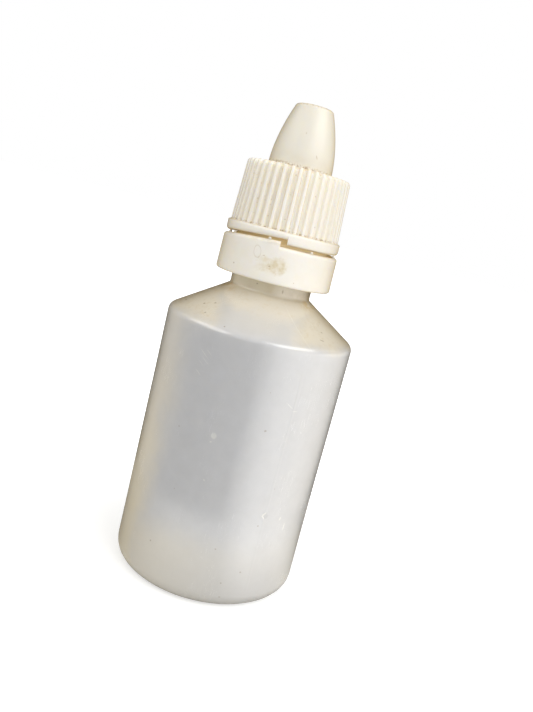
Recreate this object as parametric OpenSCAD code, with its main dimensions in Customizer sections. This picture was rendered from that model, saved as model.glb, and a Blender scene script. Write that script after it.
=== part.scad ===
// Eye drop bottle: a squeezable bottle, its dropper insert, a screw cap with a tip cover, and a tamper ring.
// Units are millimetres. The origin is the centre of the base, +Z points up, and the front faces -Y.

/* [Bottle body] */
// Outer diameter of the body
body_d = 27; // [24:0.5:32]
// Height of the shoulder edge above the base
shoulder_h = 37.9; // [30:0.1:50]
// Rise of the conical shoulder from its edge to the neck
shoulder_rise = 5; // [4:0.1:7]
// Wall thickness of the body, shoulder and base
body_wall = 1; // [0.6:0.05:1.2]
// Radius of the rounded heel at the base
heel_r = 2.1; // [1.2:0.1:3]
// Radius that rounds the shoulder edge
shoulder_r = 1.2; // [0.6:0.1:2]
// Width of the flat ring that the bottle stands on
foot_w = 2; // [1:0.1:3]
// Rise of the hollow in the middle of the base
push_up = 0.9; // [0.3:0.1:1.5]

/* [Neck] */
// Outer diameter of the plain neck, at the root of its thread
neck_d = 11.6; // [11:0.1:12.4]
// Diameter of the bore through the neck
neck_bore_d = 8.7; // [8:0.1:9]
// Height of the neck from the shoulder to its rim
neck_h = 14.5; // [13.5:0.1:16]
// Radius of the fillet where the shoulder meets the neck
neck_fillet_r = 0.5; // [0.2:0.1:1]
// How far the retaining bead stands out of the neck
bead_out = 1; // [0.8:0.05:1.3]
// Height of the retaining bead's upright face
bead_h = 1; // [0.6:0.1:1.2]
// Height of the slope on top of the retaining bead
bead_slope_h = 0.8; // [0.4:0.1:1]

/* [Thread] */
// Rise of the single thread in one turn
thread_lead = 2.5; // [2.2:0.1:3]
// Number of turns of the thread on the neck
thread_turns = 1.5; // [1:0.05:1.6]
// Number of turns of the thread inside the cap
cap_thread_turns = 1.25; // [0.75:0.05:1.3]
// Height of the thread ridge above its root
thread_depth = 0.6; // [0.5:0.05:0.7]
// Width of the ridge at its root
thread_root_w = 1.3; // [1.1:0.05:1.4]
// Width of the ridge at its crest
thread_crest_w = 0.6; // [0.4:0.05:0.7]
// Distance from the rim down to the middle of the thread's upper end
thread_end_drop = 1.7; // [1.4:0.1:2]
// Clearance between each crest and the wall facing it
thread_clear = 0.15; // [0.1:0.01:0.2]
// Gap between the flanks that bear on each other when the cap is tight
flank_gap = 0.1; // [0.05:0.01:0.2]

/* [Dropper insert] */
// Length of the plug inside the neck
plug_len = 6.5; // [5:0.1:8]
// Radial gap between the plug and the neck's bore
plug_gap = 0.08; // [0.05:0.01:0.1]
// How far each sealing rib presses into the bore's wall
seal_press = 0.04; // [0.02:0.01:0.06]
// Height of each sealing rib
seal_h = 0.9; // [0.6:0.1:1.2]
// Wall thickness of the plug
plug_wall = 0.8; // [0.6:0.05:1]
// Thickness of the insert's flange on the rim
insert_flange_h = 1.2; // [0.8:0.1:1.6]
// How far the insert's flange stays inside the neck's outer wall
insert_flange_in = 0.05; // [0:0.01:0.2]
// Height of the nozzle above the flange
nozzle_h = 7.7; // [6:0.1:10]
// Diameter of the nozzle at its foot
nozzle_d = 6.2; // [5.6:0.1:6.6]
// Diameter of the nozzle's rounded tip
nozzle_tip_d = 3.5; // [3:0.1:4]
// Radius that rounds the nozzle's lip
nozzle_lip_r = 0.45; // [0.2:0.05:0.6]
// Diameter of the hole that forms the drop
orifice_d = 0.6; // [0.4:0.05:0.8]
// Diameter of the cup at the mouth of that hole
mouth_d = 1.5; // [1.3:0.05:1.8]
// Depth of the cup at the mouth
mouth_h = 1.1; // [0.8:0.1:1.5]
// Length of the narrow stretch of the drop hole
orifice_len = 1.6; // [1:0.1:2]
// Diameter of the channel in the nozzle
channel_d = 2; // [1.4:0.1:2.2]

/* [Cap] */
// Height of the cap's skirt, with its flange
skirt_h = 10.05; // [9.4:0.05:10.4]
// Height of the flange at the skirt's foot
flange_h = 1.6; // [1.5:0.05:2]
// How far the flange stands out of the skirt's wall
flange_out = 0.75; // [0.55:0.05:1]
// Radius that rounds the flange's outer edges
flange_edge_r = 0.3; // [0.1:0.05:0.45]
// Wall thickness of the skirt at its foot
skirt_wall = 0.78; // [0.6:0.02:1]
// How much smaller the skirt's radius is at its top
skirt_draft = 0.43; // [0.2:0.01:0.45]
// Number of grip ribs
rib_count = 42; // [30:1:48]
// How far each grip rib stands out
rib_out = 0.38; // [0.2:0.02:0.5]
// Width of a grip rib at its foot
rib_root_w = 0.62; // [0.4:0.02:0.7]
// Width of a grip rib at its crest
rib_crest_w = 0.3; // [0.2:0.02:0.36]
// Angle of the first grip rib from the front
rib_phase = 1.9; // [0:0.1:8]
// Radius that rounds the skirt's top edge
skirt_edge_r = 0.5; // [0.2:0.05:0.6]
// Thickness of the wall over the insert's flange
roof_wall = 1.25; // [0.8:0.05:1.6]
// Gap between that wall and the insert's flange
seat_gap = 0.15; // [0.1:0.01:0.3]
// Radial gap between the upper bore and the neck
upper_gap = 0.4; // [0.25:0.01:0.45]
// Radial gap between the flange's bore and the retaining bead
entry_gap = 0.2; // [0.1:0.01:0.25]
// Height of the wide entry in the flange
entry_h = 0.95; // [0.8:0.05:1.1]
// Wall thickness of the tip cover
cover_wall = 0.95; // [0.7:0.05:1.2]
// Radial gap between the tip cover and the foot of the nozzle
cover_gap = 0.45; // [0.3:0.05:0.6]
// Gap between the top of the nozzle and the roof of the tip cover
cover_top_gap = 1.05; // [0.8:0.05:1.5]
// Thickness of the tip cover's roof
cover_roof = 1.2; // [0.8:0.1:1.6]
// How much wider the top of the tip cover is than the nozzle's tip, on radius
cover_top_out = 0.83; // [0.7:0.01:1.2]
// How the tip cover's sides swell: 1 is a plain cone, more is a fuller curve
cover_swell = 1.8; // [1.4:0.1:2.4]
// Radius that rounds the tip cover's top edge
cover_edge_r = 0.45; // [0.2:0.05:0.6]
// Radial gap between the sealing pin and the mouth of the nozzle
pin_gap = 0.14; // [0.1:0.01:0.18]
// How far the sealing pin reaches into the mouth of the nozzle
pin_reach = 0.75; // [0.4:0.05:0.8]

/* [Tamper ring] */
// Height of the ring below its steps
ring_h = 5; // [4.2:0.1:5.4]
// How far the ring stands out of the cap's flange
ring_out = 0.11; // [0:0.01:0.3]
// How much wider the ring's radius is at its foot
ring_draft = 0.09; // [0:0.01:0.2]
// Radial gap between the ring's wall and the retaining bead
ring_gap = 0.35; // [0.2:0.01:0.4]
// Radius that rounds the ring's outer edges
ring_edge_r = 0.3; // [0.1:0.05:0.45]
// Distance from the ring's top down to the retaining bead's underside
bead_drop = 0.85; // [0.6:0.05:1.2]
// Gap between the ring's snap lip and the bead above it
snap_gap = 0.15; // [0.1:0.01:0.25]
// Radial gap between the ring's snap lip and the neck
snap_side_gap = 0.45; // [0.3:0.05:0.6]
// Height of the snap lip's inner face
snap_h = 0.6; // [0.4:0.1:0.8]
// Height of the slope under the snap lip
snap_slope_h = 1; // [0.6:0.1:1.4]
// Gap between the ring and the cap
band_gap = 0.35; // [0.25:0.05:0.5]
// Height of each step on the ring's top
step_h = 0.7; // [0.4:0.05:0.8]
// Angle over which the ring's top climbs to each step
ramp_deg = 90; // [60:5:120]
// Angle of the first step from the front
step_phase = -0.7; // [-5:0.1:5]
// Width of the gap between the ring's step and the cap's step
step_gap = 0.82; // [0.5:0.02:1.2]
// Number of thin bridges between the ring and the cap
bridge_count = 8; // [4:1:12]
// Width of each bridge
bridge_w = 0.5; // [0.3:0.05:0.7]
// Radial depth of each bridge
bridge_t = 0.4; // [0.3:0.05:0.5]
// Gap where each bridge has snapped from the cap
bridge_gap = 0.05; // [0.03:0.01:0.1]
// Angle of the first bridge from the front
bridge_phase = -12; // [-15:0.5:-10]

/* [Hidden] */

// Facets of a full turn, the steps of a rounded corner, and the steps of a thread in one turn
round_fn = 96;
corner_steps = 6;
thread_steps = 36;
// How far a joined shape is sunk in its carrier, and how far a cutter passes the surface that it cuts
sink = 0.3;
over = 0.5;
// The largest step of a pie slice's rim, and a slice's angle past the face of a step that it has to clear
slice_deg = 30;
past_step_deg = 1;
// The front of the bottle, as an angle from +X
front = -90;
// The two sealing ribs lie at these shares of the plug's length, from its foot up
seal_places = [0.3, 0.7];
// Steps and ramps stand on the ring this many times
step_count = 2;
// The thread's blunt ends: how much of the height is left there, and the angle over which it is reached
thread_end_part = 0.2;
thread_fade_deg = 30;
// The cap's thread starts this far round from the start of the neck's thread
cap_thread_start = 180;

// Heights along the axis, from the base up
shoulder_z = shoulder_h;
neck_z = shoulder_z + shoulder_rise;
rim_z = neck_z + neck_h;
insert_top_z = rim_z + insert_flange_h;
roof_z = insert_top_z + seat_gap;
skirt_top_z = roof_z + roof_wall;
cap_z = skirt_top_z - skirt_h;
flange_top_z = cap_z + flange_h;
ring_top_z = cap_z - band_gap;
ring_z = ring_top_z - ring_h;
bead_z = ring_top_z - bead_drop;
bead_top_z = bead_z + bead_h;
snap_z = bead_z - snap_gap;
nozzle_top_z = insert_top_z + nozzle_h;
cover_roof_z = nozzle_top_z + cover_top_gap;
top_z = cover_roof_z + cover_roof;
thread_end_z = rim_z - thread_end_drop;
thread_start_z = thread_end_z - thread_turns * thread_lead;

// Radii from the axis out
body_r = body_d / 2;
neck_r = neck_d / 2;
neck_bore_r = neck_bore_d / 2;
bead_r = neck_r + bead_out;
thread_r = neck_r + thread_depth;
bore_r = thread_r + thread_clear;
cap_thread_r = neck_r + thread_clear;
upper_bore_r = neck_r + upper_gap;
entry_r = bead_r + entry_gap;
skirt_r = bore_r + skirt_wall;
skirt_top_r = skirt_r - skirt_draft;
flange_r = skirt_r + flange_out;
ring_top_r = flange_r + ring_out;
ring_r = ring_top_r + ring_draft;
ring_bore_r = bead_r + ring_gap;
snap_r = neck_r + snap_side_gap;
plug_r = neck_bore_r - plug_gap;
plug_bore_r = plug_r - plug_wall;
nozzle_r = nozzle_d / 2;
nozzle_tip_r = nozzle_tip_d / 2;
cover_r = nozzle_r + cover_gap + cover_wall;
cover_top_r = nozzle_tip_r + cover_top_out;
// A length that reaches past every piece
far = 4 * body_r;

// Angles: the slope of the shoulder, the lean of the skirt, and the gap beside each step
shoulder_deg = atan2(shoulder_rise, body_r - neck_r);
skirt_lean = atan2(skirt_draft, skirt_top_z - flange_top_z);
step_gap_deg = step_gap / flange_r * 180 / PI;
step_deg = front + step_phase;

// The two threads touch flank to flank at this distance along the axis, and the cap's lies a gap further down
flank_slope = (thread_root_w - thread_crest_w) / 2 / thread_depth;
thread_overlap = thread_r - cap_thread_r;
cap_thread_drop = thread_crest_w + thread_overlap * flank_slope + flank_gap;

// Points of an arc around [x, y], from angle a to angle b
function arc(x, y, r, a, b) =
    [for (i = [0 : corner_steps]) let (t = a + (b - a) * i / corner_steps) [x + r * cos(t), y + r * sin(t)]];

// Height of the ring's ramp above its flat top at angle a: it climbs over ramp_deg up to each step
function ramp_rise(a) =
    let (turn = 360 / step_count, rest = step_deg - a, back = rest - turn * floor(rest / turn))
    back > ramp_deg ? 0 : step_h / 2 * (1 + sin(ramp_deg / 2 - back) / sin(ramp_deg / 2));

// Radius of the tip cover's outside at height z: its sides leave the upright along a power curve
function cover_outer_r(z) =
    cover_r - (cover_r - cover_top_r) * pow((z - skirt_top_z) / (top_z - skirt_top_z), cover_swell);

// A pie slice around the axis from angle a to angle b, wider than every piece that it cuts
module slice(a, b) {
    slice_steps = ceil((b - a) / slice_deg);
    polygon(concat([[0, 0]], [for (i = [0 : slice_steps])
        let (t = a + (b - a) * i / slice_steps) far * [cos(t), sin(t)]]));
}

// The space over one ramp: above a plane that rises along the ring, set up by lift, and ended by its step
module above_ramp(lift, past) {
    mid_r = (ring_bore_r + ring_top_r) / 2;
    tilt = atan2(step_h / 2, mid_r * sin(ramp_deg / 2));
    intersection() {
        translate([0, 0, ring_z])
            linear_extrude(height = ring_h + flange_h + step_h)
                slice(step_deg - ramp_deg, step_deg + past);
        translate([0, 0, ring_top_z + step_h / 2 + lift])
            rotate([0, 0, step_deg - ramp_deg / 2])
                rotate([tilt, 0, 0])
                    translate([-far / 2, -far / 2, 0])
                        cube(far);
    }
}

// A thread ridge with blunt ends, swept up a right-hand helix: a trapezium from the root radius to the crest
module thread_ridge(root_r, crest_r, start_z, start_deg, turns) {
    side = sign(crest_r - root_r);
    steps = ceil(turns * thread_steps);
    inner_r = root_r - side * sink;
    root_half = thread_root_w / 2 + sink * flank_slope;
    crest_half = thread_crest_w / 2;
    points = [for (i = [0 : steps])
        let (turned = 360 * turns * i / steps,
             a = start_deg + turned,
             z = start_z + thread_lead * turned / 360,
             from_end = min(turned, 360 * turns - turned),
             part = min(1, thread_end_part + (1 - thread_end_part) * from_end / thread_fade_deg),
             r = root_r + (crest_r - root_r) * part)
        for (p = [[inner_r, -root_half], [r, -crest_half], [r, crest_half], [inner_r, root_half]])
            [p[0] * cos(a), p[0] * sin(a), z + side * p[1]]];
    sides = [for (i = [0 : steps - 1], k = [0 : 3])
        let (p = 4 * i + k, q = 4 * i + (k + 1) % 4)
        for (f = [[p, q, q + 4], [p, q + 4, p + 4]]) f];
    last = 4 * steps;
    ends = [[3, 2, 1], [3, 1, 0], [last, last + 1, last + 2], [last, last + 2, last + 3]];
    polyhedron(points = points, faces = concat(sides, ends));
}

// Outline of the bottle's outside, from the middle of the base to the rim
function bottle_outer() =
    let (foot_r = body_r - heel_r,
         hollow_r = foot_r - foot_w,
         turn = 90 - shoulder_deg,
         edge = shoulder_r * tan(turn / 2),
         fillet = neck_fillet_r * tan(turn / 2))
    concat(
        [for (i = [0 : corner_steps]) let (t = i / corner_steps) [hollow_r * t, push_up * (1 - t * t)]],
        arc(foot_r, heel_r, heel_r, -90, 0),
        arc(body_r - shoulder_r, shoulder_z - edge, shoulder_r, 0, turn),
        arc(neck_r + neck_fillet_r, neck_z + fillet, neck_fillet_r, 180 + turn, 180),
        [[neck_r, bead_z], [bead_r, bead_z], [bead_r, bead_top_z], [neck_r, bead_top_z + bead_slope_h],
         [neck_r, rim_z]]);

// Outline of the bottle's inside, from the rim to the middle of the base
function bottle_inner() =
    let (inner_r = body_r - body_wall,
         inner_heel_r = max(heel_r - body_wall, body_wall / 2),
         edge_z = shoulder_z - body_wall * tan((90 - shoulder_deg) / 2),
         floor_z = body_wall,
         hollow_r = body_r - heel_r - foot_w)
    concat(
        [[neck_bore_r, rim_z], [neck_bore_r, edge_z + (inner_r - neck_bore_r) * tan(shoulder_deg)],
         [inner_r, edge_z]],
        arc(inner_r - inner_heel_r, floor_z + inner_heel_r, inner_heel_r, 0, -90),
        [for (i = [corner_steps : -1 : 0]) let (t = i / corner_steps)
            [hollow_r * t, floor_z + push_up * (1 - t * t)]]);

// The squeezable bottle: base, body, shoulder, neck, retaining bead and outer thread
module bottle() {
    color("gainsboro") {
        rotate_extrude($fn = round_fn)
            polygon(concat(bottle_outer(), bottle_inner()));
        thread_ridge(neck_r, thread_r, thread_start_z, 0, thread_turns);
    }
}

// Outline of one sealing rib on the plug, with its middle at height z
function seal_rib(z) =
    [[plug_r, z - seal_h / 2], [neck_bore_r + seal_press, z], [plug_r, z + seal_h / 2]];

// The dropper insert: a hollow plug with two sealing ribs, a flange on the rim, and a nozzle with a drop hole
module dropper_insert() {
    plug_z = rim_z - plug_len;
    lead_in = plug_gap + seal_press;
    flange_r = neck_r - insert_flange_in;
    mouth_z = nozzle_top_z - mouth_h;
    narrow_z = mouth_z - orifice_len;
    lean = atan2(nozzle_r - nozzle_tip_r, nozzle_h);
    color("whitesmoke")
        rotate_extrude($fn = round_fn)
            polygon(concat(
                [[plug_bore_r, plug_z], [plug_r - lead_in, plug_z]],
                seal_rib(plug_z + plug_len * seal_places[0]),
                seal_rib(plug_z + plug_len * seal_places[1]),
                [[plug_r, rim_z], [flange_r, rim_z], [flange_r, insert_top_z], [nozzle_r, insert_top_z]],
                arc(nozzle_tip_r - nozzle_lip_r, nozzle_top_z - nozzle_lip_r, nozzle_lip_r, lean, 90),
                [[mouth_d / 2, nozzle_top_z], [orifice_d / 2, mouth_z], [orifice_d / 2, narrow_z],
                 [channel_d / 2, narrow_z - channel_d / 2], [channel_d / 2, insert_top_z],
                 [plug_bore_r, insert_top_z - plug_bore_r + channel_d / 2]]));
}

// Outline of the cap's outside without its ribs, from the axis at the flange's foot to the axis at the top
function cap_outer() =
    let (cover_points = 12,
         lean = atan(cover_swell * (cover_r - cover_top_r) / (top_z - skirt_top_z)),
         side_z = top_z - cover_edge_r * (1 - sin(lean)))
    concat(
        [[0, cap_z]],
        arc(flange_r - flange_edge_r, cap_z + flange_edge_r, flange_edge_r, -90, 0),
        arc(flange_r - flange_edge_r, flange_top_z - flange_edge_r, flange_edge_r, 0, 90),
        [[skirt_r, flange_top_z]],
        arc(skirt_top_r - skirt_edge_r, skirt_top_z - skirt_edge_r, skirt_edge_r, 0, 90),
        [for (i = [0 : cover_points])
            let (z = skirt_top_z + (side_z - skirt_top_z) * i / cover_points) [cover_outer_r(z), z]],
        arc(cover_outer_r(side_z) - cover_edge_r * cos(lean), top_z - cover_edge_r, cover_edge_r, lean, 90),
        [[0, top_z]]);

// Outline of the cap's inside, from below the flange to the roof of the tip cover
function cap_inner() =
    let (entry_z = cap_z + entry_h,
         upper_z = thread_end_z + thread_root_w / 2 + thread_clear,
         cover_points = 8)
    concat(
        [[0, cap_z - over], [entry_r, cap_z - over], [entry_r, entry_z], [bore_r, entry_z + entry_r - bore_r],
         [bore_r, upper_z], [upper_bore_r, upper_z + bore_r - upper_bore_r], [upper_bore_r, roof_z],
         [cover_r - cover_wall, roof_z]],
        [for (i = [0 : cover_points])
            let (z = skirt_top_z + (cover_roof_z - skirt_top_z) * i / cover_points)
                [cover_outer_r(z) - cover_wall, z]],
        [[0, cover_roof_z]]);

// The grip ribs: bars that lean with the skirt's wall and are rounded off with its top edge
module grip_ribs() {
    rib_len = (skirt_top_z - flange_top_z) / cos(skirt_lean);
    root = -sink;
    root_half = rib_root_w / 2 + (rib_root_w - rib_crest_w) / 2 / rib_out * sink;
    intersection() {
        for (i = [0 : rib_count - 1])
            rotate([0, 0, front + rib_phase + 360 * i / rib_count])
                translate([skirt_r, 0, flange_top_z])
                    rotate([0, -skirt_lean, 0])
                        linear_extrude(height = rib_len)
                            polygon([[root, -root_half], [rib_out, -rib_crest_w / 2],
                                     [rib_out, rib_crest_w / 2], [root, root_half]]);
        rotate_extrude($fn = round_fn)
            polygon(concat(
                [[upper_bore_r, flange_top_z - over], [flange_r, flange_top_z - over],
                 [skirt_r + 2 * rib_out, flange_top_z]],
                arc(skirt_top_r + rib_out - skirt_edge_r, skirt_top_z - skirt_edge_r, skirt_edge_r, 0, 90),
                [[upper_bore_r, skirt_top_z]]));
    }
}

// The sealing pin under the cover's roof, which closes the mouth of the nozzle
module sealing_pin() {
    slope = (mouth_d - orifice_d) / 2 / mouth_h;
    foot_r = mouth_d / 2 - pin_gap;
    end_z = nozzle_top_z - pin_reach;
    end_r = foot_r - pin_reach * slope;
    translate([0, 0, end_z])
        cylinder(h = pin_reach, r1 = end_r, r2 = foot_r, $fn = round_fn);
    translate([0, 0, nozzle_top_z])
        cylinder(h = cover_top_gap + sink, r = foot_r, $fn = round_fn);
}

// The screw cap: stepped flange, ribbed skirt, inner thread, tip cover and sealing pin
module cap() {
    color("ivory") {
        difference() {
            union() {
                rotate_extrude($fn = round_fn)
                    polygon(cap_outer());
                grip_ribs();
            }
            rotate_extrude($fn = round_fn)
                polygon(cap_inner());
            for (i = [0 : step_count - 1])
                rotate([0, 0, 360 / step_count * i])
                    under_ramp();
        }
        thread_ridge(bore_r, cap_thread_r,
            thread_start_z - cap_thread_drop + thread_lead * cap_thread_start / 360,
            cap_thread_start, cap_thread_turns);
        sealing_pin();
    }
}

// The notch in the cap's flange that a ramp and its step stand in
module under_ramp() {
    difference() {
        translate([0, 0, cap_z - over])
            linear_extrude(height = step_h + over)
                slice(step_deg - ramp_deg, step_deg + step_gap_deg);
        above_ramp(band_gap, 0);
    }
}

// One ramp and its step on top of the ring
module ramp() {
    difference() {
        translate([0, 0, ring_top_z - over])
            linear_extrude(height = over + step_h)
                intersection() {
                    difference() {
                        circle(r = ring_top_r, $fn = round_fn);
                        circle(r = ring_bore_r, $fn = round_fn);
                    }
                    slice(step_deg - ramp_deg, step_deg);
                }
        above_ramp(0, past_step_deg);
    }
}

// The thin bridges, snapped just below the cap's flange
module bridges() {
    bridge_r = (ring_bore_r + ring_top_r) / 2;
    half_deg = bridge_w / bridge_r * 90 / PI;
    for (i = [0 : bridge_count - 1]) {
        a = front + bridge_phase + 360 * i / bridge_count;
        rise = min(ramp_rise(a - half_deg), ramp_rise(a + half_deg));
        rotate([0, 0, a])
            translate([bridge_r - bridge_t / 2, -bridge_w / 2, ring_top_z - sink])
                cube([bridge_t, bridge_w, sink + rise + band_gap - bridge_gap]);
    }
}

// The tamper ring: a plain band with a snap lip inside and ramps, steps and bridges on top
module tamper_ring() {
    color("ivory") {
        rotate_extrude($fn = round_fn)
            polygon(concat(
                [[ring_bore_r, ring_z]],
                arc(ring_r - ring_edge_r, ring_z + ring_edge_r, ring_edge_r, -90, 0),
                [[ring_top_r, ring_top_z], [ring_bore_r, ring_top_z], [ring_bore_r, snap_z], [snap_r, snap_z],
                 [snap_r, snap_z - snap_h], [ring_bore_r, snap_z - snap_h - snap_slope_h]]));
        for (i = [0 : step_count - 1])
            rotate([0, 0, 360 / step_count * i])
                ramp();
        bridges();
    }
}

bottle();
dropper_insert();
cap();
tamper_ring();
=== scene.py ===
# %% [markdown]
# # An eye drop bottle
#
# A small round squeeze bottle of milky polyethylene, with a press-in dropper, a ribbed screw cap whose top is
# a tip cover, and a tamper ring that stays on the neck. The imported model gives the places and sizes. This
# script gives the surfaces: a finer skin over each part, its finish, and plain studio light.

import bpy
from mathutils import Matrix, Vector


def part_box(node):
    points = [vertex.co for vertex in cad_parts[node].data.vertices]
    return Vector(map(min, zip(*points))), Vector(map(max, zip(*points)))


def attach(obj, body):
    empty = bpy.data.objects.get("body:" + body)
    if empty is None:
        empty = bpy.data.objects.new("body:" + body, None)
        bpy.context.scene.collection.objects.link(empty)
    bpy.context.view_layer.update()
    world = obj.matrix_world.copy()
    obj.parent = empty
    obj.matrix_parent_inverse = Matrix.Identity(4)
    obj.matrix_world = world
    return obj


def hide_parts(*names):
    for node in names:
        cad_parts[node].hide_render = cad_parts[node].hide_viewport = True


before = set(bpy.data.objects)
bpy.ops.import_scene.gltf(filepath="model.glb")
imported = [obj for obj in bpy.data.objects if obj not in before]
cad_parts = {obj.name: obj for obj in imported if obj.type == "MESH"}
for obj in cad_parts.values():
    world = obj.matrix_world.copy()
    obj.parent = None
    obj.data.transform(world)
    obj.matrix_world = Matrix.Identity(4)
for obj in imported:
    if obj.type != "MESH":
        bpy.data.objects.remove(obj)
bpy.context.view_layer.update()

# %% Tools and units
import math

import bpy
import numpy as np
from mathutils import Matrix, Vector

MM = 0.001

# %% [markdown]
# ## Sizes
#
# Every skin has to lie where its CAD part lies, so the outermost sizes are read from the frame. What the
# frame's boxes can't say, such as a wall or a rounding, is written here in millimetres, as on a drawing.
# Angles are counted from the front of the bottle towards its right, and heights from the plane that it stands
# on.

# %% Sizes read from the frame
boxes = {name: [np.array(corner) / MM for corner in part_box(name)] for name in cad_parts}
body_r = boxes["bottle"][1][0]
rim_z = boxes["bottle"][1][2]
plug_z, nozzle_top_z = boxes["dropper_insert"][0][2], boxes["dropper_insert"][1][2]
cap_z, top_z = boxes["cap"][0][2], boxes["cap"][1][2]
flange_r = boxes["cap"][1][0]
ring_z, ring_r = boxes["tamper_ring"][0][2], boxes["tamper_ring"][1][0]
print(f"body radius {body_r:.2f}, rim {rim_z:.2f}, ring radius {ring_r:.2f}")
print(f"cap from {cap_z:.2f} to {top_z:.2f}")

# %% Sizes of the bottle
shoulder_z = 37.9
neck_z = 42.9
neck_r = 5.8
neck_bore_r = 4.35
body_wall = 1.0
heel_r = 2.1
foot_r = 9.4
push_up = 0.9
bead_z = 48.75
bead_r = 6.8
bead_h = 1.0
bead_slope_h = 0.8
seam_deg = 30.5

# %% Sizes of the thread
thread_lead = 2.5
thread_depth = 0.6
thread_clear = 0.15
thread_end_z = rim_z - 1.7
thread_start_deg = 90
neck_turns = 1.5
cap_turns = 1.25
cap_thread_drop = 1.03

# %% Sizes of the cap and the ring
flange_h = 1.6
flange_top_z = cap_z + flange_h
skirt_top_z = 60.0
thread_bore_r = 6.55
thread_bore_top_z = 56.5
upper_bore_r = 6.2
entry_r = 7.0
skirt_foot_r = 7.71
skirt_top_r = 7.28
rib_count = 42
rib_out = 0.38
rib_phase = 1.9
roof_z = 58.75
cover_r = 4.5
cover_top_r = 2.58
cover_wall = 0.95
cover_swell = 1.8
cover_roof_z = 67.35
ring_top_z = 49.6
ring_mid_r = 7.7
ring_bore_r = 7.15
snap_r = 6.25
snap_z = 48.6
step_h = 0.7
step_deg = -0.7
step_gap_deg = 5.8
ramp_deg = 90.0
step_turn = 180.0

# %% [markdown]
# ## Shapes from arrays
#
# All four mouldings are round, so each skin is one outline carried round the axis. The outline is a row of
# corners, each with its own rounding, like the sketch that a toolmaker would turn a mould from. Carrying it
# round gives a grid of points: one direction runs along the outline, the other round the axis. Ribs, seams
# and steps are then small pushes on that grid, worked out for the whole array at once.

# %% An outline with rounded corners
def outline(corners, step=0.5, arc_steps=8):
    """Points along corners (radius, height, rounding). A rounded corner becomes the arc that touches both its
    sides: its centre lies on the bisector, rounding / sin(half the corner's angle) away. Stretches longer
    than step are cut into equal parts."""
    corners = np.array(corners, float)
    points = [corners[0, :2]]
    for before, corner, after in zip(corners[:, :2], corners[1:], corners[2:, :2]):
        middle, rounding = corner[:2], corner[2]
        if rounding == 0:
            points.append(middle)
            continue
        back = (before - middle) / np.linalg.norm(before - middle)
        ahead = (after - middle) / np.linalg.norm(after - middle)
        half = math.acos(np.clip(back @ ahead, -1, 1)) / 2
        centre = middle + (back + ahead) / np.linalg.norm(back + ahead) * rounding / math.sin(half)
        first = middle + back * rounding / math.tan(half) - centre
        last = middle + ahead * rounding / math.tan(half) - centre
        turn = math.pi - 2 * half
        share = np.linspace(0, 1, arc_steps + 1)[:, None]
        swung = np.sin((1 - share) * turn) * first + np.sin(share * turn) * last
        points.extend(centre + swung / math.sin(turn))
    points.append(corners[-1, :2])
    points = np.array(points)
    along = np.concatenate([[0], np.cumsum(np.linalg.norm(np.diff(points, axis=0), axis=1))])
    stations = [np.linspace(a, b, max(1, math.ceil((b - a) / step)), endpoint=False)
                for a, b in zip(along, along[1:])]
    stations = np.append(np.concatenate(stations), along[-1])
    return np.stack([np.interp(stations, along, points[:, k]) for k in (0, 1)], axis=1)


def side_normals(line):
    """The outline's normals: its direction of travel turned a quarter turn towards the outside."""
    ahead = np.gradient(line, axis=0)
    normals = np.stack([ahead[:, 1], -ahead[:, 0]], axis=1)
    return normals / np.maximum(np.linalg.norm(normals, axis=1, keepdims=True), 1e-9)


# %% A grid carried round the axis
def round_angles(count, phase=0.0, extra=()):
    """Angles in degrees from the front: count equal steps from phase, and the extra ones in their places."""
    angles = phase + np.arange(count) * 360 / count
    return np.unique(np.mod(np.concatenate([angles, np.ravel(extra)]), 360))


def carry_round(line, angles, push=0.0, lift=0.0):
    """The point at angle a is (r sin a, -r cos a, z), where r and z are the outline's, moved along its normal
    by push and upwards by lift. Both are arrays of rows by columns, or plain numbers."""
    normals = side_normals(line)
    turn = np.radians(angles)[None, :]
    r = line[:, 0:1] + normals[:, 0:1] * push + 0 * turn
    z = line[:, 1:2] + normals[:, 1:2] * push + lift + 0 * turn
    r = np.where(line[:, 0:1] < 1e-6, 0, np.maximum(r, 0))
    return np.stack([r * np.sin(turn), -r * np.cos(turn), z], axis=-1)


# %% A mesh from one or more grids
def grid_faces(points, loop):
    """Vertices and faces of a grid whose columns close on themselves, and whose rows do too if loop is true.
    A row that is a single place becomes one vertex with triangles round it."""
    rows, columns = points.shape[:2]
    index = np.arange(rows * columns).reshape(rows, columns)
    pole = np.ptp(points, axis=1).max(axis=1) < 1e-7
    index[pole] = index[pole, :1]
    if loop:
        index = np.vstack([index, index[:1]])
    right = np.roll(index, -1, axis=1)
    quads = np.stack([index[:-1], right[:-1], right[1:], index[1:]], axis=-1).reshape(-1, 4)
    opens, ends = quads[:, 0] == quads[:, 1], quads[:, 2] == quads[:, 3]
    faces = [quads[~opens & ~ends], quads[opens][:, [0, 2, 3]], quads[ends][:, :3]]
    used = np.unique(np.concatenate([f.ravel() for f in faces]))
    renumber = np.zeros(rows * columns, int)
    renumber[used] = np.arange(len(used))
    return points.reshape(-1, 3)[used], [renumber[f] for f in faces], used


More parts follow.
